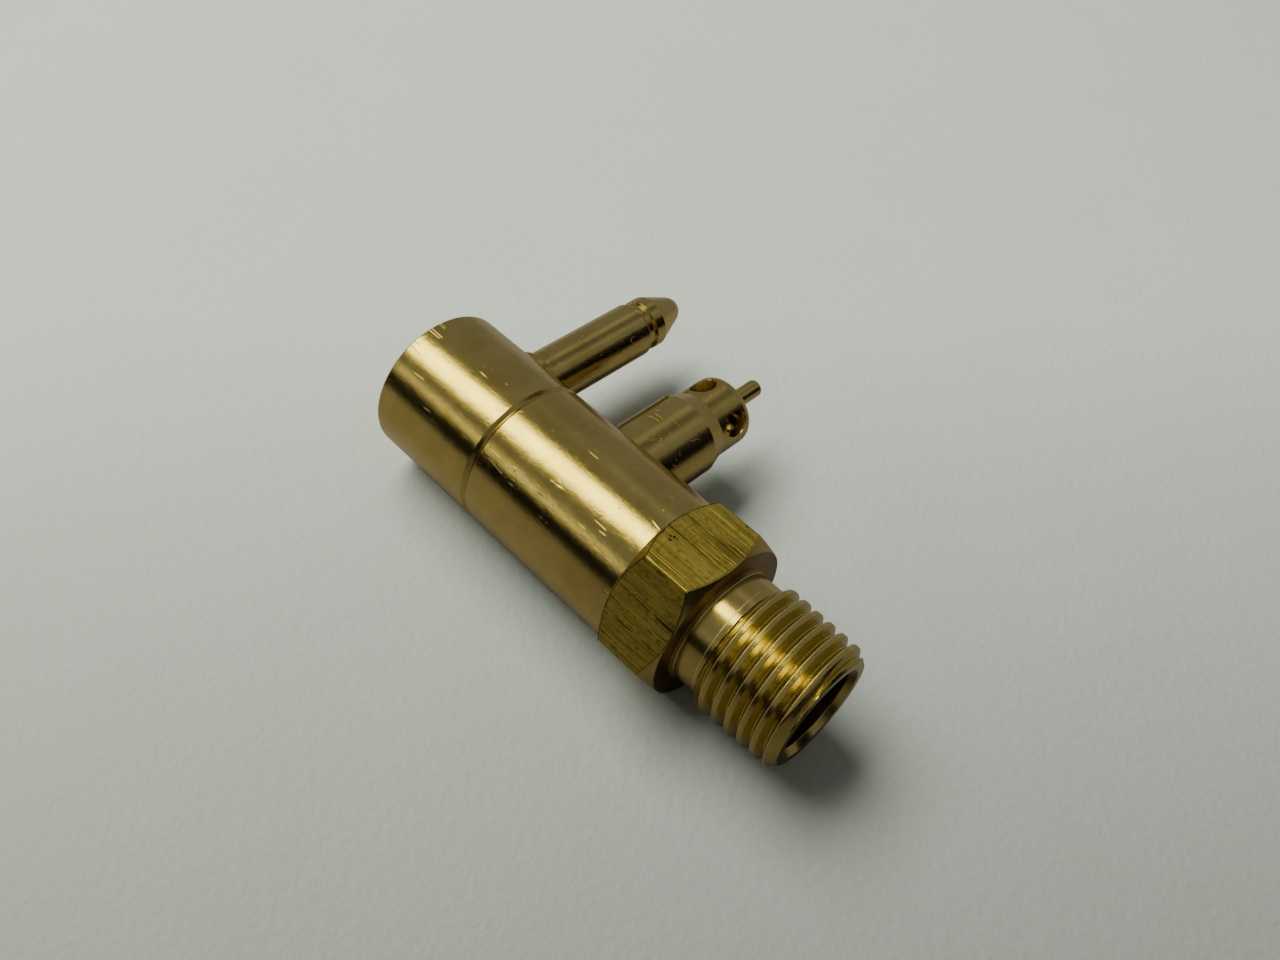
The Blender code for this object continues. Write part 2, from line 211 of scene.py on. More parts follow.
class Nodes:
    """A little sugar for building node trees."""

    def __init__(self, tree):
        self.tree = tree

    def new(self, kind, **props):
        node = self.tree.nodes.new(kind)
        for key, value in props.items():
            setattr(node, key, value)
        return node

    def link(self, a, b):
        self.tree.links.new(a, b)

    def value(self, socket, v):
        if hasattr(v, "is_output") or isinstance(v, bpy.types.NodeSocket):
            self.link(v, socket)
        else:
            socket.default_value = v

    def math(self, op, a, b=None, clamp=False):
        node = self.new("ShaderNodeMath", operation=op, use_clamp=clamp)
        self.value(node.inputs[0], a)
        if b is not None:
            self.value(node.inputs[1], b)
        return node.outputs[0]

    def coords(self, scale, rotation=(0, 0, 0), location=(0, 0, 0)):
        tex = self.new("ShaderNodeTexCoord")
        mapping = self.new("ShaderNodeMapping")
        mapping.inputs["Scale"].default_value = scale
        mapping.inputs["Rotation"].default_value = rotation
        mapping.inputs["Location"].default_value = location
        self.link(tex.outputs["Object"], mapping.inputs["Vector"])
        return mapping.outputs[0]

    def noise(self, vec, scale=1.0, detail=2.0, rough=0.5, distortion=0.0):
        node = self.new("ShaderNodeTexNoise")
        self.link(vec, node.inputs["Vector"])
        node.inputs["Scale"].default_value = scale
        node.inputs["Detail"].default_value = detail
        node.inputs["Roughness"].default_value = rough
        node.inputs["Distortion"].default_value = distortion
        return node.outputs["Fac"]

    def voronoi(self, vec, scale=1.0, feature="F1", out="Distance", rand=1.0):
        node = self.new("ShaderNodeTexVoronoi", feature=feature)
        self.link(vec, node.inputs["Vector"])
        node.inputs["Scale"].default_value = scale
        node.inputs["Randomness"].default_value = rand
        return node.outputs[out]

    def remap(self, v, a, b, c=0.0, d=1.0, smooth=True):
        node = self.new("ShaderNodeMapRange",
                        interpolation_type="SMOOTHSTEP" if smooth else "LINEAR")
        node.inputs["From Min"].default_value = a
        node.inputs["From Max"].default_value = b
        node.inputs["To Min"].default_value = c
        node.inputs["To Max"].default_value = d
        self.value(node.inputs["Value"], v)
        return node.outputs[0]

    def mix(self, fac, a, b, blend="MIX"):
        node = self.new("ShaderNodeMix", data_type="RGBA", blend_type=blend)
        self.value(node.inputs[0], fac)
        for socket, v in ((node.inputs[6], a), (node.inputs[7], b)):
            if isinstance(v, tuple):
                socket.default_value = (*v, 1.0)
            else:
                self.link(v, socket)
        return node.outputs[2]

    def bump(self, height, strength, distance, normal=None):
        node = self.new("ShaderNodeBump")
        node.inputs["Strength"].default_value = strength
        node.inputs["Distance"].default_value = distance
        self.link(height, node.inputs["Height"])
        if normal is not None:
            self.link(normal, node.inputs["Normal"])
        return node.outputs[0]


def base_material(name):
    mat = bpy.data.materials.new(name)
    mat.use_nodes = True
    tree = mat.node_tree
    shader = tree.nodes["Principled BSDF"]
    return mat, Nodes(tree), shader


def scratch_lines(n, turn, scale, width, keep, seed):
    """Thin straight hairlines: the level lines of a noise stretched along one
    direction, kept only in patches."""
    vec = n.coords((scale * 0.06, scale, scale), rotation=turn,
                   location=(seed * 3.1, seed * 1.7, seed * 2.3))
    a = n.noise(vec, 1.0, 0.0, 0.4)
    line = n.math("ABSOLUTE", n.math("SUBTRACT", a, 0.5))
    line = n.remap(line, 0.0, width, 1.0, 0.0)
    vec2 = n.coords((scale * 0.55,) * 3, location=(seed * 5.0, seed, 7.0))
    mask = n.remap(n.noise(vec2, 1.0, 2.0, 0.6), keep, keep + 0.06)
    return n.math("MULTIPLY", line, mask)


BRASS_A = (0.625, 0.490, 0.168)
BRASS_B = (0.560, 0.428, 0.136)
BRASS_DARK = (0.20, 0.140, 0.035)


def turned_brass(name, axis, seed=1.0, rough=0.20, aniso=0.55, ring=1.0, wear=1.0, satin=1.7,
                 tint_a=BRASS_A, tint_b=BRASS_B):
    mat, n, sh = base_material(name)
    # turning marks: noise that varies only along the axis
    fine = [40.0, 40.0, 40.0]
    i = {"X": 0, "Y": 1}[axis]
    fine[i] = 9000.0
    rings = n.noise(n.coords(tuple(fine), location=(seed, seed, seed)), 1.0, 3.0, 0.6)
    broad = [25.0, 25.0, 25.0]
    broad[i] = 1500.0
    bands = n.noise(n.coords(tuple(broad), location=(seed * 2, 0, 0)), 1.0, 2.0, 0.5)
    # handling marks
    s1 = scratch_lines(n, (0.3, 0.5, 0.6), 420.0, 0.0055, 0.57, seed + 0.3)
    s2 = scratch_lines(n, (0.9, -0.7, 1.4), 620.0, 0.0075, 0.57, seed + 2.9)
    s3 = scratch_lines(n, (-0.4, 1.2, -0.5), 900.0, 0.012, 0.59, seed + 5.1)
    lines = n.math("MAXIMUM", s1, n.math("MAXIMUM", s2, s3))
    # small dents and pits
    cell = n.voronoi(n.coords((1500.0,) * 3, location=(seed, 0, seed)), 1.0)
    pits = n.remap(cell, 0.05, 0.16, 1.0, 0.0)
    pmask = n.remap(n.noise(n.coords((520.0,) * 3, location=(0, seed, 0)), 1.0, 1.0), 0.60, 0.66)
    pits = n.math("MULTIPLY", pits, pmask)
    # soft unevenness of the drawn and turned surface
    grain = n.noise(n.coords((2600.0,) * 3, location=(seed, seed, 0)), 1.0, 4.0, 0.65)
    lumps = n.noise(n.coords((700.0,) * 3, location=(0, 0, seed)), 1.0, 2.0, 0.5)
    sand = n.noise(n.coords((7200.0,) * 3, location=(seed, 0, 0)), 1.0, 2.0, 0.6)

    blotch = n.noise(n.coords((260.0,) * 3, location=(seed, 2 * seed, 0)), 1.0, 4.0, 0.6)
    colour = n.mix(n.remap(blotch, 0.36, 0.66), tint_a, tint_b)
    colour = n.mix(n.math("MULTIPLY", n.remap(bands, 0.35, 0.75), 0.05), colour, BRASS_DARK)
    colour = n.mix(n.math("MULTIPLY", pits, 0.75 * wear), colour, BRASS_DARK)
    colour = n.mix(n.math("MULTIPLY", lines, 0.30 * wear), colour, (0.85, 0.68, 0.34))
    n.link(colour, sh.inputs["Base Color"])
    sh.inputs["Metallic"].default_value = 1.0
    r = n.remap(grain, 0.3, 0.75, rough * 0.80, rough * 1.35, smooth=False)
    r = n.math("ADD", r, n.math("MULTIPLY", lines, 0.12))
    r = n.math("ADD", r, n.math("MULTIPLY", pits, 0.25))
    n.link(r, sh.inputs["Roughness"])
    sh.inputs["Anisotropic"].default_value = aniso
    sh.inputs["Anisotropic Rotation"].default_value = 0.25
    tan = n.new("ShaderNodeTangent", direction_type="RADIAL", axis=axis)
    n.link(tan.outputs[0], sh.inputs["Tangent"])
    height = n.math("MULTIPLY", rings, 0.60 * ring)
    height = n.math("ADD", height, n.math("MULTIPLY", grain, 1.9 * wear))
    height = n.math("ADD", height, n.math("MULTIPLY", sand, satin * wear))
    height = n.math("SUBTRACT", height, n.math("MULTIPLY", lines, 2.6 * wear))
    height = n.math("SUBTRACT", height, n.math("MULTIPLY", pits, 4.0 * wear))
    height = n.math("ADD", height, n.math("MULTIPLY", lumps, 4.0 * wear))
    n.link(n.bump(height, 1.0, 0.0000042), sh.inputs["Normal"])
    return mat


def bar_brass(name, seed=3.0):
    """The bar's own skin on the wrench flats: dull, drawn along the axis, with
    dark draw lines, stains and a few pits."""
    mat, n, sh = base_material(name)
    streak = n.noise(n.coords((150.0, 4200.0, 4200.0), location=(seed, 0, 0)), 1.0, 4.0, 0.65)
    hair = n.noise(n.coords((70.0, 3200.0, 3200.0), location=(seed, 5, 2)), 1.0, 2.0, 0.5)
    wide = n.noise(n.coords((120.0, 700.0, 700.0), location=(0, seed, 0)), 1.0, 3.0, 0.6)
    blotch = n.noise(n.coords((1300.0, 2400.0, 2400.0), location=(seed, 1, 4)), 1.0, 5.0, 0.75)
    grain = n.noise(n.coords((5200.0,) * 3), 1.0, 4.0, 0.7)
    broken = n.remap(n.noise(n.coords((420.0, 900.0, 900.0), location=(9, seed, 1)), 1.0, 2.0), 0.42, 0.56, 0.15, 1.0)
    cross = n.noise(n.coords((3600.0, 420.0, 420.0), location=(2, seed, 0)), 1.0, 3.0, 0.6)
    cell = n.voronoi(n.coords((2300.0, 3600.0, 3600.0), location=(seed, 0, 1)), 1.0)
    pits = n.remap(cell, 0.12, 0.30, 1.0, 0.0)
    pmask = n.remap(n.noise(n.coords((520.0,) * 3, location=(seed, 3, 0)), 1.0, 2.0), 0.60, 0.68)
    # one close group of pits on the upper flat
    near = n.new("ShaderNodeVectorMath", operation="DISTANCE")
    n.link(n.new("ShaderNodeTexCoord").outputs["Object"], near.inputs[0])
    near.inputs[1].default_value = PIT_GROUP
    pmask = n.math("MAXIMUM", pmask, n.remap(near.outputs["Value"], 0.0003, 0.0007, 1.0, 0.0))
    pits = n.math("MULTIPLY", pits, pmask)
    pits = n.math("MAXIMUM", pits, n.math("MULTIPLY", n.remap(cell, 0.36, 0.50, 1.0, 0.0),
                                          n.remap(near.outputs["Value"], 0.00036, 0.00060, 1.0, 0.0)))
    # a dark ragged line along where the flats meet the turned chamfers
    part = n.new("ShaderNodeSeparateXYZ")
    n.link(n.new("ShaderNodeTexCoord").outputs["Object"], part.inputs[0])
    px, py, pz = part.outputs
    rad = n.math("SQRT", n.math("ADD", n.math("MULTIPLY", py, py), n.math("MULTIPLY", pz, pz)))
    right_end = n.math("SUBTRACT", n.math("SUBTRACT", 0.03915, n.math("MULTIPLY", n.math("SUBTRACT", rad, 0.00790), 0.770)), px)
    left_end = n.math("SUBTRACT", px, n.math("ADD", 0.03221, n.math("MULTIPLY", n.math("SUBTRACT", rad, 0.00785), 0.904)))
    ragged = n.math("MULTIPLY", n.math("SUBTRACT", blotch, 0.5), 0.00045)
    chamfer_edge_dark = n.math("MAXIMUM", n.remap(n.math("ADD", right_end, ragged), 0.00007, 0.00017, 1.0, 0.0),
                   n.remap(n.math("ADD", left_end, ragged), 0.00004, 0.00012, 1.0, 0.0))
    gold, mid, dull = (0.66, 0.525, 0.130), (0.40, 0.305, 0.062), (0.13, 0.094, 0.022)
    colour = n.mix(n.remap(streak, 0.34, 0.66), gold, mid)
    colour = n.mix(n.remap(blotch, 0.50, 0.66, 0.0, 0.60), colour, dull)
    colour = n.mix(n.remap(wide, 0.50, 0.68, 0.0, 0.50), colour, dull)
    colour = n.mix(n.math("MULTIPLY", n.remap(hair, 0.60, 0.66, 0.0, 0.88), broken), colour, (0.040, 0.028, 0.009))
    colour = n.mix(n.remap(cross, 0.62, 0.72, 0.0, 0.45), colour, dull)
    colour = n.mix(n.math("MULTIPLY", chamfer_edge_dark, 0.85), colour, (0.030, 0.018, 0.006))
    colour = n.mix(pits, colour, (0.020, 0.010, 0.005))
    n.link(colour, sh.inputs["Base Color"])
    sh.inputs["Metallic"].default_value = 1.0
    r = n.remap(grain, 0.3, 0.8, 0.34, 0.52, smooth=False)
    n.link(r, sh.inputs["Roughness"])
    height = n.math("MULTIPLY", streak, 1.6)
    height = n.math("ADD", height, n.math("MULTIPLY", grain, 1.2))
    height = n.math("SUBTRACT", height, n.math("MULTIPLY", n.remap(hair, 0.58, 0.68), 1.6))
    height = n.math("SUBTRACT", height, n.math("MULTIPLY", pits, 5.0))
    n.link(n.bump(height, 1.0, 0.000010), sh.inputs["Normal"])
    return mat


def steel_wire(name):
    mat, n, sh = base_material(name)
    grain = n.noise(n.coords((5000.0, 700.0, 5000.0)), 1.0, 3.0, 0.6)
    colour = n.mix(n.remap(grain, 0.3, 0.7), (0.60, 0.60, 0.61), (0.42, 0.42, 0.43))
    n.link(colour, sh.inputs["Base Color"])
    sh.inputs["Metallic"].default_value = 1.0
    n.link(n.remap(grain, 0.2, 0.8, 0.22, 0.42), sh.inputs["Roughness"])
    n.link(n.bump(grain, 0.5, 0.000004), sh.inputs["Normal"])
    return mat


def nitrile(name):
    mat, n, sh = base_material(name)
    grain = n.noise(n.coords((6000.0,) * 3), 1.0, 4.0, 0.6)
    colour = n.mix(n.remap(grain, 0.3, 0.7), (0.012, 0.012, 0.013), (0.030, 0.029, 0.028))
    n.link(colour, sh.inputs["Base Color"])
    n.link(n.remap(grain, 0.2, 0.8, 0.45, 0.70), sh.inputs["Roughness"])
    n.link(n.bump(grain, 0.5, 0.000006), sh.inputs["Normal"])
    return mat


PIT_GROUP = (0.03370, -0.00145, 0.00794)

MAT_BARREL = turned_brass("turned_body", "X", seed=1.0, rough=0.15, satin=2.8)
MAT_CHAMFER = turned_brass("turned_faces", "X", seed=4.0, rough=0.14, aniso=0.2, wear=0.6)
MAT_THREAD = turned_brass("cut_thread", "X", seed=6.0, rough=0.18, aniso=0.1, ring=0.6, wear=0.16,
                          tint_a=(0.625, 0.488, 0.165), tint_b=(0.575, 0.440, 0.140))
MAT_FLANK = turned_brass("thread_flank", "X", seed=6.5, rough=0.19, aniso=0.1, ring=0.6, wear=0.10,
                         tint_a=(0.612, 0.500, 0.148), tint_b=(0.562, 0.452, 0.126))
# painted shade: a darker, rougher copy of the brass for the shoulder face and the step down to the neck
MAT_SHOULDER_SHADE = turned_brass("shoulder_painted_shade", "X", seed=9.0, rough=0.36, aniso=0.0, wear=0.5,
                        tint_a=(0.30, 0.205, 0.060), tint_b=(0.21, 0.135, 0.036))
# painted highlight: a lighter, rougher copy of the brass makes a thin bright line along each crest's -X edge
MAT_CREST_GLINT = turned_brass("crest_edge_painted_glint", "X", seed=7.0, rough=0.42, aniso=0.0, wear=0.5,
                        tint_a=(0.92, 0.77, 0.42), tint_b=(0.80, 0.65, 0.32))
MAT_FLAT = bar_brass("bar_skin")
MAT_PIN = turned_brass("turned_pin", "Y", seed=8.0, rough=0.15, ring=1.8, wear=1.0)
MAT_STEM = turned_brass("turned_stem", "Y", seed=11.0, rough=0.16, ring=1.6, wear=1.1)
MAT_POPPET = turned_brass("turned_poppet", "Y", seed=14.0, rough=0.17, wear=0.6)
MAT_BUSH = turned_brass("turned_bush", "Y", seed=17.0, rough=0.24, wear=0.5)

# --------------------------------------------------------------------- body
BARREL_R = 7.85
HEX_AP = 15.875 / 2.0
CORNER_ROUND = 0.16
PITCH = 1.411
CREST_R, CREST_X, TAPER = 6.62, 42.40, 1.0 / 32.0
DEPTH, CREST_FLAT = 0.74, 0.46
PHASE_X, PHASE_DEG = 45.90, 120.0
THREAD_A, THREAD_B = 41.30, 51.05
PIN_X, STEM_X = 6.415, 21.244


def hex_radius(theta):
    """Radius of the hexagon, its corners slightly rounded, at an angle from +Y."""
    t = (math.degrees(theta) % 60.0)
    d = min(t, 60.0 - t)                     # degrees from the nearest corner
    corner = HEX_AP / math.cos(math.radians(30.0))
    dc = corner - CORNER_ROUND / math.cos(math.radians(30.0))
    lim = math.degrees(math.atan2(CORNER_ROUND * 0.5, dc + CORNER_ROUND * math.cos(math.radians(30.0))))
    if d < lim:
        a = math.radians(d)
        return dc * math.cos(a) + math.sqrt(max(0.0, CORNER_ROUND ** 2 - (dc * math.sin(a)) ** 2))
    return HEX_AP / math.cos(math.radians(30.0 - d))


def crest_radius(x):
    return CREST_R - (x - CREST_X) * TAPER


def thread_radius(x, theta):
    """Radius of the cut thread: crest flat, 60 degree flanks, narrow root."""
    c = PHASE_X + PITCH * (math.degrees(theta) - PHASE_DEG) / 360.0
    s = (x - c) / PITCH
    s = abs(s - round(s)) * PITCH             # distance from the crest's middle
    e0 = CREST_FLAT / 2.0
    e1 = PITCH / 2.0 - 0.05
    if s <= e0 - 0.03:
        k = 0.0
    elif s <= e0 + 0.04:                      # broken edge
        w = (s - e0 + 0.03) / 0.07
        k = 0.10 * w * w
    elif s < e1:
        k = 0.10 + (s - e0 - 0.04) / (e1 - e0 - 0.04) * 0.90
    else:
        k = 1.0
    blank = 5.88
    if x > 42.00:
        blank = min(crest_radius(x), 5.88 + (x - 42.00) * 1.15)
    if x > 50.15:
        blank = crest_radius(50.15) + (x - 50.15) * (5.57 - crest_radius(50.15)) / (51.05 - 50.15)
    return min(blank, crest_radius(x) - DEPTH * k)


def columns():
    base = [math.tau * j / 288 for j in range(288)]
    extra = []
    for c in range(6):
        for d in (0.16, 0.32, 0.47, 0.75):
            extra += [math.radians(60 * c + d) % math.tau, math.radians(60 * c - d) % math.tau]
    return sorted(base + extra)


def body_outline(theta):
    """(x, r, fillet, subdivisions) from the closed end to the thread's start."""
    rh = hex_radius(theta)
    s0 = (33.40 - 32.21) / (9.166 - BARREL_R)
    s1 = (39.15 - 38.16) / (9.186 - 7.90)
    xa = 32.21 + (rh - BARREL_R) * s0
    xb = 39.15 - (rh - 7.90) * s1
    return [
        (0.0, 0.0, 0.0, 7),
        (0.0, BARREL_R - 0.20, 0.10, 0),
        (0.20, BARREL_R, 0.12, 27),
        (13.06, BARREL_R, 0.05, 0),
        (13.44, BARREL_R - 0.37, 0.07, 0),
        (13.88, BARREL_R, 0.05, 38),
        (32.21, BARREL_R, 0.05, 2),
        (xa, rh, 0.07, 10),
        (xb, rh, 0.06, 2),
        (39.15, 7.90, 0.06, 4),
        (39.15, 6.15, 0.04, 0),
        (39.50, 5.88, 0.12, 3),
        (THREAD_A, 5.88, 0.0, 0),
    ]


bore_outline = [
    (THREAD_B, 5.57, 0.0, 0),
    (THREAD_B, 4.78, 0.05, 0),
    (50.45, 4.30, 0.06, 20),
    (38.00, 4.30, 0.08, 2),
    (37.00, 2.60, 0.08, 12),
    (25.40, 2.60, 0.08, 2),
    (25.40, 0.0, 0.0, 0),
]


def build_body():
    cols = columns()
    n = len(cols)
    # rows within one pitch, as distances from the crest's middle
    half = [0.0, 0.10, 0.17, 0.20, 0.225, 0.25, 0.28, 0.34, 0.42, 0.50, 0.58, 0.63, 0.655, 0.68]
    steps = half + [PITCH / 2.0] + [PITCH - s for s in reversed(half[1:])]
    m = len(steps)
    turns = int(math.ceil((THREAD_B - THREAD_A) / PITCH)) + 3
    outlines, runs = [], None
    for th in cols:
        pts, runs = rounded(body_outline(th))
        outlines.append(pts)
    rows = len(outlines[0])
    verts, faces, mats = [], [], []
    grid = [[0] * n for _ in range(rows)]
    for i in range(rows):
        if outlines[0][i][1] < 1e-6:
            idx = len(verts)
            verts.append((outlines[0][i][0] * MM, 0.0, 0.0))
            grid[i] = [idx] * n
            continue
        for j, th in enumerate(cols):
            x, r = outlines[j][i]
            if runs[i] in (6, 7, 8):          # nicks along the hexagon's corners
                d = math.degrees(th) % 60.0
                d = min(d, 60.0 - d)
                if d < 0.6 and r > 8.9:
                    k = noise.noise(Vector((x * 1.9, math.cos(th) * 7.0, math.sin(th) * 7.0)))
                    k2 = noise.noise(Vector((x * 6.0, math.cos(th) * 9.0, 3.0)))
                    r -= max(0.0, k * 0.10 + k2 * 0.05) * (1.0 - d / 0.6)
            grid[i][j] = len(verts)
            verts.append(place("X", (0, 0, 0), x, r, th))

    holes = [(PIN_X, 3.62, 4.6, pin_hole), (STEM_X, 4.47, 5.5, stem_hole)]

    def inside(i, j, hole):
        x, r = outlines[j][i]
        th = cols[j]
        if math.cos(th) <= 0:
            return False
        w = hole[2]
        return abs(x - hole[0]) < w and abs(r * math.sin(th)) < w * 0.985

    def mat_of(run, j):
        if run in (7,):
            return 2
        # the shoulder face and the step to the neck take the painted-shade brass
        if run in (9, 10):
            return 5
        if run in (6, 8):
            return 1
        if run in (11,):
            return 3
        return 0

    # which quads belong to a hole's patch
    patch = {}
    for i in range(rows - 1):
        for j in range(n):
            k = (j + 1) % n
            for h, hole in enumerate(holes):
                if all(inside(a, b, hole) for a, b in ((i, j), (i, k), (i + 1, j), (i + 1, k))):
                    patch[(i, j)] = h
    for i in range(rows - 1):
        for j in range(n):
            if (i, j) in patch:
                continue
            k = (j + 1) % n
            faces.append((grid[i][j], grid[i][k], grid[i + 1][k], grid[i + 1][j]))
            mats.append(mat_of(runs[i + 1] if runs[i + 1] != runs[i] and False else runs[i], j))
    for h, hole in enumerate(holes):
        cells = [c for c, v in patch.items() if v == h]
        ilo = min(c[0] for c in cells)
        ihi = max(c[0] for c in cells) + 1
        js = sorted(set(c[1] for c in cells), key=lambda j: ((cols[j] + math.pi) % math.tau))
        jlist = js + [(js[-1] + 1) % n]
        loop = [(ilo, j) for j in jlist]
        loop += [(i, jlist[-1]) for i in range(ilo + 1, ihi + 1)]
        loop += [(ihi, j) for j in reversed(jlist[:-1])]
        loop += [(i, jlist[0]) for i in range(ihi - 1, ilo, -1)]
        xc = hole[0]
        base = []
        for i, j in loop:
            x, r = outlines[j][i]
            base.append((x, r * math.sin(cols[j]), grid[i][j]))
        phis = [math.atan2(z, x - xc) for x, z, _ in base]
        prev = [b[2] for b in base]

        def ring(points):
            ids = []
            for p in points:
                ids.append(len(verts))
                verts.append(tuple(v * MM for v in p))
            for a in range(len(ids)):
                b = (a + 1) % len(ids)
                faces.append((prev[a], prev[b], ids[b], ids[a]))
                mats.append(0)
            return ids

        rim = hole[1] + 0.07
        for t in (0.25, 0.5, 0.72, 0.88, 0.96, 1.0):
            pts = []
            for (x, z, _), ph in zip(base, phis):
                cx, cz = xc + rim * math.cos(ph), rim * math.sin(ph)
                px, pz = x + (cx - x) * t, z + (cz - z) * t
                pts.append((px, math.sqrt(BARREL_R ** 2 - pz ** 2), pz))
            prev = ring(pts)
        for r, y in hole[3]():
            pts = []
            for ph in phis:
                pz = r * math.sin(ph)
                yy = y if y < 50 else math.sqrt(BARREL_R ** 2 - pz ** 2) - (y - 100.0)
                pts.append((xc + r * math.cos(ph), yy, pz))
            prev = ring(pts)
        centre = len(verts)
        bottom = hole[3]()[-1][1]
        verts.append((xc * MM, bottom * MM, 0.0))
        for a in range(len(prev)):
            b = (a + 1) % len(prev)
            faces.append((prev[a], prev[b], centre))
            mats.append(0)

    # the thread: rows run along the helix, so a turn joins the next one
    total = m * turns

    def row_x(q, th):
        turn, s = divmod(q, m)
        c = PHASE_X + PITCH * (math.degrees(th) - PHASE_DEG) / 360.0
        first = c - math.ceil((c - THREAD_A) / PITCH + 1e-9) * PITCH
        return first, turn, s

    c0 = PHASE_X + PITCH * (0.0 - PHASE_DEG) / 360.0
    k0 = math.ceil((c0 - THREAD_A) / PITCH) + 1
    start0 = c0 - k0 * PITCH
    tgrid = []
    for q in range(total):
        turn, s = divmod(q, m)
        ids = []
        for th in cols:
            x = start0 + PITCH * turn + steps[s] + PITCH * th / math.tau
            x = min(max(x, THREAD_A), THREAD_B)
            ids.append(len(verts))
            verts.append(place("X", (0, 0, 0), x, thread_radius(x, th), th))
        tgrid.append(ids)
    for q in range(total - 1):
        # rows on the crest's -X edge take the painted-highlight brass
        edge = PITCH - 0.26 < steps[q % m] < PITCH - 0.19
        flank = 0.24 < steps[q % m] < PITCH - 0.26
        for j in range(n):
            if j < n - 1:
                quad = (tgrid[q][j], tgrid[q][j + 1], tgrid[q + 1][j + 1], tgrid[q + 1][j])
            else:
                a, b = min(q + m, total - 1), min(q + 1 + m, total - 1)
                quad = (tgrid[q][j], tgrid[a][0], tgrid[b][0], tgrid[q + 1][j])
            faces.append(quad)
            mats.append(4 if edge else 6 if flank else 3)
    # the seam is joined in the loop above; this loop does nothing
    for q in range(m):
        pass

    # end face, countersink and bore
    pts, bruns = rounded(bore_outline)
    last = None
    for i, (x, r) in enumerate(pts):
        if r < 1e-6:
            ids = [len(verts)] * n
            verts.append((x * MM, 0.0, 0.0))
        else:
            ids = []
            for th in cols:
                ids.append(len(verts))
                rr = thread_radius(THREAD_B, th) if i == 0 else r
                verts.append(place("X", (0, 0, 0), x, rr, th))
        if last:
            for j in range(n):
                k = (j + 1) % n
                faces.append((last[j], last[k], ids[k], ids[j]))
                mats.append(3 if bruns[i] > 1 else 1)
        last = ids
    return finish_mesh("body_fine", verts, faces, mats, angle=40.0)


def pin_hole():
    return [(3.62, 100.07), (3.62, 6.85), (2.45, 6.85), (2.45, 1.25)]


def stem_hole():
    return [(4.47, 100.07), (4.47, 6.15), (3.65, 6.15), (3.65, 2.70)]


body = put("body_fine", build_body(), "connector",
           [MAT_BARREL, MAT_CHAMFER, MAT_FLAT, MAT_THREAD, MAT_CREST_GLINT, MAT_SHOULDER_SHADE, MAT_FLANK])
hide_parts("body")

# ------------------------------------------------------------- locating pin
pin_poly = [
    (28.10, 0.0, 0.0, 1),
    (28.10, 1.02, 0.55, 0),
    (27.35, 1.50, 0.80, 3),
    (24.05, 2.87, 0.10, 1),
    (22.85, 2.87, 0.06, 0),
    (22.62, 2.56, 0.08, 1),
    (21.95, 2.56, 0.10, 0),
    (21.50, 3.03, 0.08, 24),
    (8.05, 3.03, 0.06, 0),
    (8.05, 3.30, 0.06, 0),
    (7.80, 3.55, 0.10, 1),
    (6.90, 3.55, 0.0, 0),
    (6.90, 2.40, 0.0, 2),
    (1.60, 2.40, 0.0, 0),
    (1.30, 2.10, 0.0, 0),
    (1.30, 0.0, 0.0, 0),
]
pin = put("pin_fine", lathe("pin_fine", pin_poly, "Y", (PIN_X, 0, 0), 144, fillet_seg=4),
          "connector", [MAT_PIN])
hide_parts("locating_pin")

# --------------------------------------------------------------- valve stem
stem_poly = [
    (20.97, 1.02, 0.05, 2),
    (20.97, 3.80, 1.32, 6),
    (16.25, 3.80, 0.12, 2),
    (14.40, 4.40, 0.12, 10),
    (7.00, 4.40, 0.0, 0),
    (6.20, 4.40, 0.0, 0),
    (6.20, 3.60, 0.0, 4),
    (3.00, 3.60, 0.0, 0),
    (2.75, 3.35, 0.0, 0),
    (2.75, 2.75, 0.0, 8),
    (15.00, 2.75, 0.0, 0),
    (15.00, 1.75, 0.0, 3),
    (19.25, 1.75, 0.0, 0),
    (19.75, 1.02, 0.0, 2),
    (20.97, 1.02, 0.05, 2),
]


def ring_lathe(name, poly, origin, seg, fillet_seg):
    """A tube: the outline closes on itself and never meets the axis."""
    closed = poly[:-1]
    pts = []
    count = len(closed)
    for i in range(count):
        h, r, rad, sub = closed[i]
        p0 = closed[(i - 1) % count]
        p2 = closed[(i + 1) % count]
        if rad > 0:
            here = arc_points(p0[:2], (h, r), p2[:2], rad, fillet_seg if rad < 0.5 else 8, 0.05)
        else:
            here = [(h, r)]
        pts += here
        if sub:
            nh, nr, nrad, _ = p2
            if nrad > 0:
                p3 = closed[(i + 2) % count]
                end = arc_points((h, r), (nh, nr), p3[:2], nrad, fillet_seg if nrad < 0.5 else 8, 0.05)[0]
            else:
                end = (nh, nr)
            s = here[-1]
            for k in range(1, sub + 1):
                w = k / (sub + 1)
                pts.append((s[0] + (end[0] - s[0]) * w, s[1] + (end[1] - s[1]) * w))
    verts, faces = [], []
    for h, r in pts:
        for j in range(seg):
            verts.append(place("Y", origin, h, r, math.tau * j / seg))
    rows = len(pts)
    for i in range(rows):
        for j in range(seg):
            a, b = i * seg, ((i + 1) % rows) * seg
            k = (j + 1) % seg
            faces.append((a + j, a + k, b + k, b + j))
    return finish_mesh(name, verts, faces)


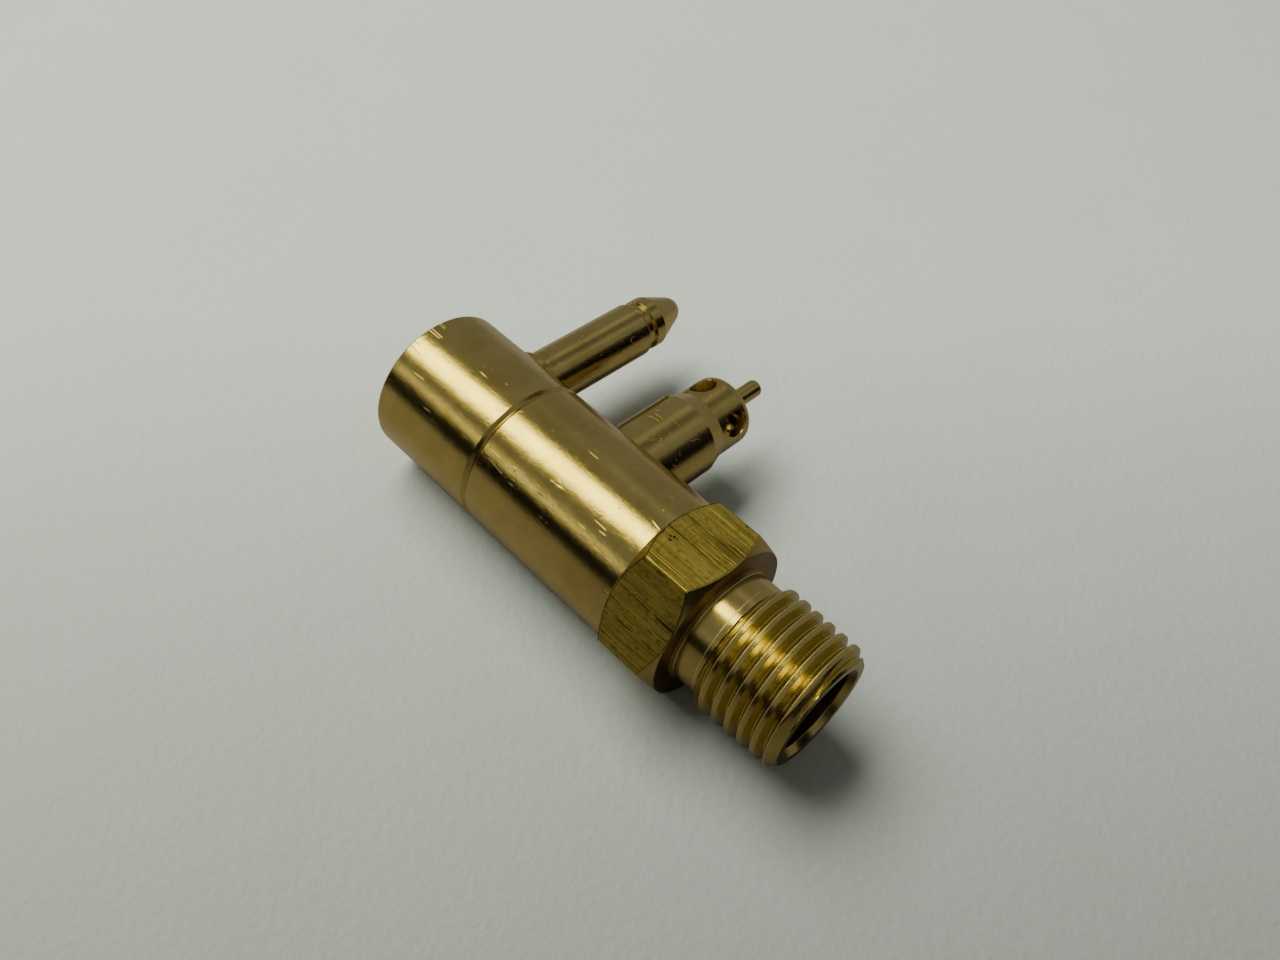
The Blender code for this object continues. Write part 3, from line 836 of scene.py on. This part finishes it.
stem_mesh = ring_lathe("stem_blank", stem_poly, (STEM_X, 0, 0), 144, 4)
stem_tmp = bpy.data.objects.new("stem_blank", stem_mesh)
bpy.context.scene.collection.objects.link(stem_tmp)
made = [stem_tmp]
for k, angle in enumerate((27.0, 117.0, 207.0, 297.0)):
    poly = [(6.0, 0.0, 0, 0), (6.0, 3.55, 0, 0), (3.68, 1.43, 0, 0), (3.50, 1.34, 0, 0),
            (1.20, 1.22, 0, 0), (1.20, 0.0, 0, 0)]
    cut_mesh = lathe("port_cut", poly, "X", (0, 0, 0), 64)
    cut = bpy.data.objects.new("port_cut_%d" % k, cut_mesh)
    bpy.context.scene.collection.objects.link(cut)
    a = math.radians(angle)
    # local +X goes to (cos a, 0, sin a)
    xdir = Vector((math.cos(a), 0, math.sin(a)))
    ydir = Vector((0, 1, 0))
    zdir = xdir.cross(ydir)
    mat = Matrix((xdir, ydir, zdir)).transposed().to_4x4()
    cut.matrix_world = Matrix.Translation(Vector((STEM_X, 18.40, 0)) * MM) @ mat
    mod = stem_tmp.modifiers.new("port_%d" % k, "BOOLEAN")
    mod.operation = "DIFFERENCE"
    mod.solver = "EXACT"
    mod.object = cut
    made.append(cut)
bpy.context.view_layer.update()
graph = bpy.context.evaluated_depsgraph_get()
stem_final = bpy.data.meshes.new_from_object(stem_tmp.evaluated_get(graph))
for o in made:
    bpy.data.objects.remove(o, do_unlink=True)
stem_final.name = "stem_fine"
stem_final.materials.clear()
stem_final.shade_smooth()
stem_final.set_sharp_from_angle(angle=math.radians(30))
stem = put("stem_fine", stem_final, "connector", [MAT_STEM])
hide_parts("valve_stem")

# ------------------------------------------------------------------- poppet
poppet_poly = [
    (25.80, 0.0, 0.0, 1),
    (25.80, 0.95, 0.45, 18),
    (15.75, 0.95, 0.0, 0),
    (15.25, 1.35, 0.0, 1),
    (14.05, 1.35, 0.0, 0),
    (14.05, 2.30, 0.06, 1),
    (12.60, 2.30, 0.06, 0),
    (12.60, 1.45, 0.0, 1),
    (11.60, 1.45, 0.0, 0),
    (11.30, 1.15, 0.0, 0),
    (11.30, 0.0, 0.0, 0),
]
poppet = put("poppet_fine", lathe("poppet_fine", poppet_poly, "Y", (STEM_X, 0, 0), 72, fillet_seg=6),
             "plunger", [MAT_POPPET])
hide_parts("poppet")

# ------------------------------------------------------------------- spring
WIRE_R, COIL_R, TURNS = 0.25, 2.15, 8.0
SPRING_Y0, SPRING_Y1 = 4.40, 12.55


def coil_height(t):
    """Height of the wire's middle after t turns: the end turns are closed."""
    low, high, wire = SPRING_Y0 + WIRE_R, SPRING_Y1 - WIRE_R, 2.0 * WIRE_R * 1.06
    if t < 1.0:
        return low + wire * t
    if t > TURNS - 1.0:
        return high - wire * (TURNS - t)
    return (low + wire) + (high - low - 2 * wire) * (t - 1.0) / (TURNS - 2.0)


def coil_point(t):
    a = math.tau * t
    return Vector((STEM_X + COIL_R * math.cos(a), coil_height(t), -COIL_R * math.sin(a)))


def build_spring(per_turn=40, sides=16):
    verts, faces = [], []
    steps = int(TURNS * per_turn)
    for i in range(steps + 1):
        t = i / per_turn
        p = coil_point(t)
        along = (coil_point(min(t + 0.004, TURNS)) - coil_point(max(t - 0.004, 0.0))).normalized()
        out = Vector((p.x - STEM_X, 0.0, p.z)).normalized()
        up = along.cross(out).normalized()
        out = up.cross(along).normalized()
        for k in range(sides):
            a = math.tau * k / sides
            verts.append(tuple((p + out * (WIRE_R * math.cos(a)) + up * (WIRE_R * math.sin(a))) * MM))
    for i in range(steps):
        for k in range(sides):
            m = (k + 1) % sides
            faces.append((i * sides + k, i * sides + m, (i + 1) * sides + m, (i + 1) * sides + k))
    faces.append(tuple(range(sides)))
    faces.append(tuple(range(steps * sides, (steps + 1) * sides)))
    return finish_mesh("spring_fine", verts, faces, angle=50.0)


spring = put("spring_fine", build_spring(), "connector", [steel_wire("spring_wire")])
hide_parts("valve_spring")
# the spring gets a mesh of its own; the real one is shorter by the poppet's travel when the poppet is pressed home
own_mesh(spring)

# hidden pieces keep their shape and get real materials
for node, m in (("poppet_seal", nitrile("seal_nitrile")),
                ("spring_retainer", MAT_BUSH)):
    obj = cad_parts[node]
    obj.data.materials.clear()
    obj.data.materials.append(m)
    for s in obj.material_slots:
        s.material = m

# -------------------------------------------------------------------- floor
floor_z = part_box("body")[0].z
mesh = bpy.data.meshes.new("floor")
bm = bmesh.new()
bmesh.ops.create_grid(bm, x_segments=1, y_segments=1, size=3.0)
bm.to_mesh(mesh)
bm.free()
floor = bpy.data.objects.new("floor", mesh)
bpy.context.scene.collection.objects.link(floor)
floor.location = (0.02, 0.01, floor_z)
mat, n, sh = base_material("table_top")
peel = n.noise(n.coords((1150.0,) * 3), 1.0, 2.0, 0.5)
soft = n.noise(n.coords((60.0,) * 3), 1.0, 3.0, 0.5)
tone = n.mix(n.remap(soft, 0.3, 0.7), (0.735, 0.800, 0.684), (0.752, 0.814, 0.704))
# the light's fall-off across the table is painted into its colour as painted shade, and the table that the brass
# mirrors is painted darker still: painted shade in the reflection
painted_falloff = n.new("ShaderNodeVectorMath", operation="DOT_PRODUCT")
n.link(n.new("ShaderNodeTexCoord").outputs["Object"], painted_falloff.inputs[0])
painted_falloff.inputs[1].default_value = (0.80, -0.60, 0.0)
painted_falloff = n.remap(painted_falloff.outputs["Value"], -0.030, 0.062, 1.0, 0.42, smooth=False)
# painted shade: the table seen in the brass's reflections is much darker
tone = n.mix(n.new("ShaderNodeLightPath").outputs["Is Glossy Ray"], tone, (0.275, 0.264, 0.232))
dim = n.new("ShaderNodeVectorMath", operation="SCALE")
n.link(tone, dim.inputs[0])
n.link(painted_falloff, dim.inputs["Scale"])
n.link(dim.outputs["Vector"], sh.inputs["Base Color"])
sh.inputs["Roughness"].default_value = 0.55
sh.inputs["Specular IOR Level"].default_value = 0.35
n.link(n.bump(peel, 0.7, 0.00016), sh.inputs["Normal"])
# far from the object the table melts into the backdrop
far = n.new("ShaderNodeVectorMath", operation="LENGTH")
n.link(n.new("ShaderNodeTexCoord").outputs["Object"], far.inputs[0])
melt = n.math("MULTIPLY", n.remap(far.outputs["Value"], 0.24, 0.75), n.new("ShaderNodeLightPath").outputs["Is Camera Ray"])
glow = n.new("ShaderNodeEmission")
glow.inputs["Color"].default_value = (0.74, 0.78, 0.74, 1.0)
blend = n.new("ShaderNodeMixShader")
n.link(melt, blend.inputs[0])
n.link(sh.outputs[0], blend.inputs[1])
n.link(glow.outputs[0], blend.inputs[2])
n.link(blend.outputs[0], mat.node_tree.nodes["Material Output"].inputs["Surface"])
mesh.materials.append(mat)

# ------------------------------------------------------------------- lights
world = bpy.data.worlds.new("studio")
bpy.context.scene.world = world
world.use_nodes = True
wn = Nodes(world.node_tree)
bg = world.node_tree.nodes["Background"]


def direction(az, el):
    a, e = math.radians(az), math.radians(el)
    return Vector((math.cos(e) * math.cos(a), math.cos(e) * math.sin(a), math.sin(e)))


def softbox(name, az, el, width_deg, height_deg, radiance, colour=(1, 1, 1), dist=1.6, roll=0.0):
    """An area light of a stated radiance, seen from the object under the
    stated angles."""
    w = 2 * dist * math.tan(math.radians(width_deg / 2))
    h = 2 * dist * math.tan(math.radians(height_deg / 2))
    data = bpy.data.lights.new(name, "AREA")
    data.shape = "RECTANGLE"
    data.size, data.size_y = w, h
    data.energy = radiance * math.pi * w * h
    data.color = colour
    obj = bpy.data.objects.new(name, data)
    bpy.context.scene.collection.objects.link(obj)
    d = direction(az, el)
    obj.location = Vector((0.025, 0.008, 0.0)) + d * dist
    q = d.to_track_quat("Z", "Y")
    obj.rotation_euler = (q.to_matrix() @ Matrix.Rotation(math.radians(roll), 3, "Z")).to_euler()
    return obj


# a dim, even room round the table, with a few darker and lighter stretches
dirs = wn.new("ShaderNodeTexCoord").outputs["Generated"]


def lobe(az, el, inner, outer, stretch=1.0):
    """1 inside the inner angle of a direction, 0 outside the outer one."""
    d = direction(az, el)
    node = wn.new("ShaderNodeVectorMath", operation="DOT_PRODUCT")
    wn.link(dirs, node.inputs[0])
    node.inputs[1].default_value = d
    return wn.remap(node.outputs["Value"], math.cos(math.radians(outer)), math.cos(math.radians(inner)))


room = 0.222
split = wn.new("ShaderNodeSeparateXYZ")
wn.link(dirs, split.inputs[0])
x, y, z = split.outputs
low = wn.remap(z, 0.27, 0.42, 1.0, 0.0)
flat = wn.math("SQRT", wn.math("ADD", wn.math("MULTIPLY", x, x), wn.math("MULTIPLY", y, y)))
toward = wn.math("ADD", wn.math("MULTIPLY", x, math.cos(math.radians(317))),
                 wn.math("MULTIPLY", y, math.sin(math.radians(317))))
toward = wn.remap(wn.math("DIVIDE", toward, wn.math("MAXIMUM", flat, 0.001)), 0.06, 0.22)
dark = wn.math("MULTIPLY", low, toward)
level = wn.math("MULTIPLY", wn.math("SUBTRACT", 1.0, wn.math("MULTIPLY", dark, 0.93)), room)
for az, el, inner, outer, keep in ((38, 16, 13, 22, 0.07), (232, 8, 10, 18, 0.10), (92, 57, 4, 10, 0.55)):
    level = wn.math("MULTIPLY", level, wn.math("SUBTRACT", 1.0, wn.math("MULTIPLY", lobe(az, el, inner, outer), 1.0 - keep)))
for az, el, inner, outer, gain in ((62, 51, 3, 9, 0.10), (121, 50, 3, 9, 0.16)):
    level = wn.math("ADD", level, wn.math("MULTIPLY", lobe(az, el, inner, outer), gain))
path = wn.new("ShaderNodeLightPath")
level = wn.mix(path.outputs["Is Diffuse Ray"], level, (0.15, 0.15, 0.15))
tint = wn.mix(1.0, level, (0.98, 1.0, 0.97), blend="MULTIPLY")
wn.link(wn.mix(path.outputs["Is Camera Ray"], tint, (0.74, 0.78, 0.74)), bg.inputs["Color"])
bg.inputs["Strength"].default_value = 1.0

# what the brass mirrors, and the light that falls on the table
key = softbox("key", 200, 58, 19, 36, 7.0, (1.0, 0.95, 0.34), dist=0.7)
side = softbox("side", 236, 27, 20, 8, 1.20, (1.0, 0.95, 0.55), dist=0.7)
key.visible_diffuse = side.visible_diffuse = False
lamp = softbox("lamp", 190, 58, 50, 30, 8.4, (0.99, 1.0, 0.955), dist=0.80)
lamp.visible_glossy = False
